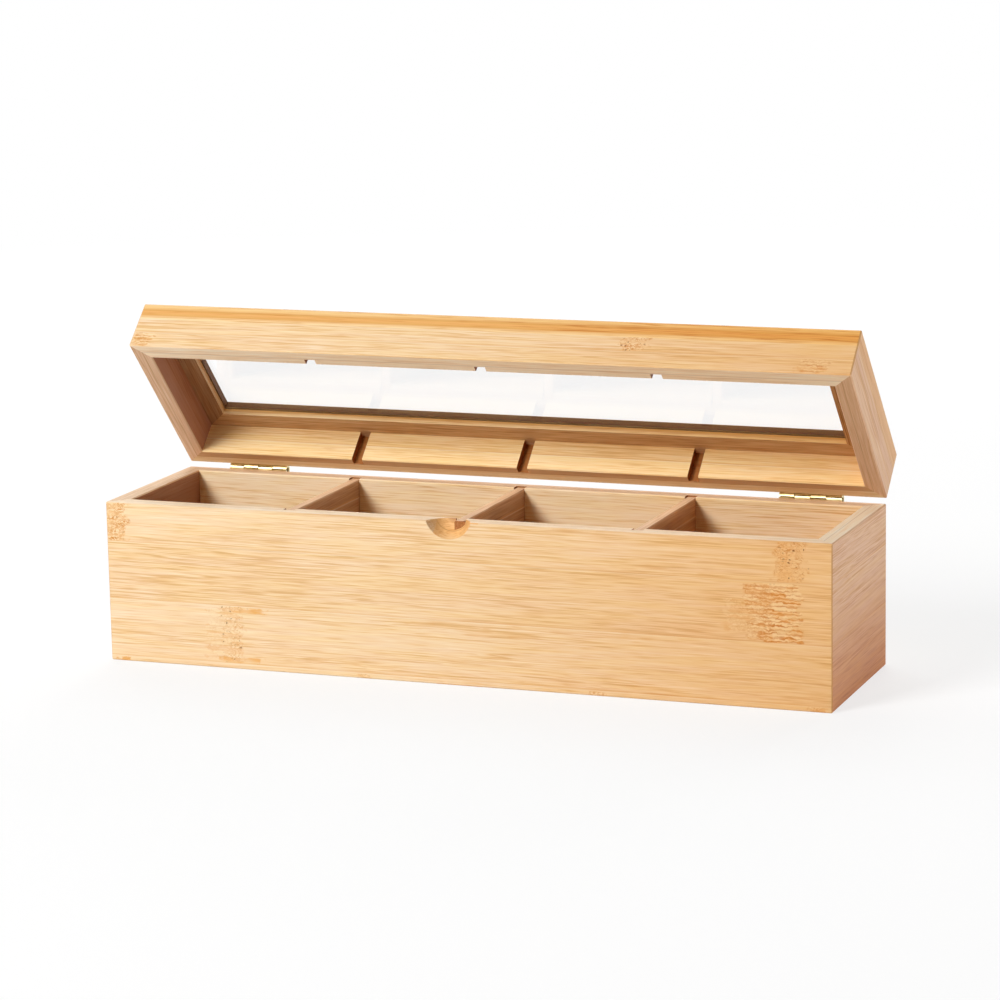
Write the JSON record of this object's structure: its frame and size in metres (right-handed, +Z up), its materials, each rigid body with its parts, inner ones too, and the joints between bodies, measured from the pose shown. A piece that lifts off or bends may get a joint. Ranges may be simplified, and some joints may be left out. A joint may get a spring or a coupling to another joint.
{
  "type": "tea bag organizer box",
  "caption": "Long bamboo tea box with open compartments, a finger scoop in the front rim and a hinged lid with a glass window.",
  "frame": {"origin": "middle of the flat underside", "axes": "+X to the right along the length, +Y to the back, where the hinges are, +Z up"},
  "size_m": [0.34, 0.1075, 0.157],
  "materials": {
    "bamboo_board": "satin clear lacquer over laminated bamboo strips",
    "bamboo_frame": "satin clear lacquer, darker carbonised bamboo strip",
    "bamboo_inner": "sanded bamboo, thin matt lacquer",
    "window_glass": "clear float glass",
    "hinge_brass": "brass plated, lightly worn",
    "screw_brass": "brass plated, lightly worn"
  },
  "bodies": {
    "base": {"base_front_board": "bamboo_board", "base_back_board": "bamboo_board", "base_left_board": "bamboo_board", "base_right_board": "bamboo_board", "base_panel": "bamboo_inner", "divider_left": "bamboo_inner", "divider_middle": "bamboo_inner", "divider_right": "bamboo_inner", "hinge_left_base_leaf": "hinge_brass", "hinge_left_pin": "hinge_brass", "hinge_left_base_screws": "screw_brass", "hinge_right_base_leaf": "hinge_brass", "hinge_right_pin": "hinge_brass", "hinge_right_base_screws": "screw_brass"},
    "lid": {"lid_front_board": "bamboo_board", "lid_back_board": "bamboo_board", "lid_left_board": "bamboo_board", "lid_right_board": "bamboo_board", "frame_front_rail": "bamboo_frame", "frame_back_rail": "bamboo_frame", "frame_left_rail": "bamboo_frame", "frame_right_rail": "bamboo_frame", "window_glass": "window_glass", "hinge_left_lid_leaf": "hinge_brass", "hinge_left_lid_screws": "screw_brass", "hinge_right_lid_leaf": "hinge_brass", "hinge_right_lid_screws": "screw_brass"}
  },
  "joints": [
    {"name": "lid_hinge", "type": "hinge", "parent": "base", "child": "lid", "pos_m": [0, 0.047, 0.07365], "axis": [-1, 0, 0], "range_deg": [-47, 133]}
  ]
}
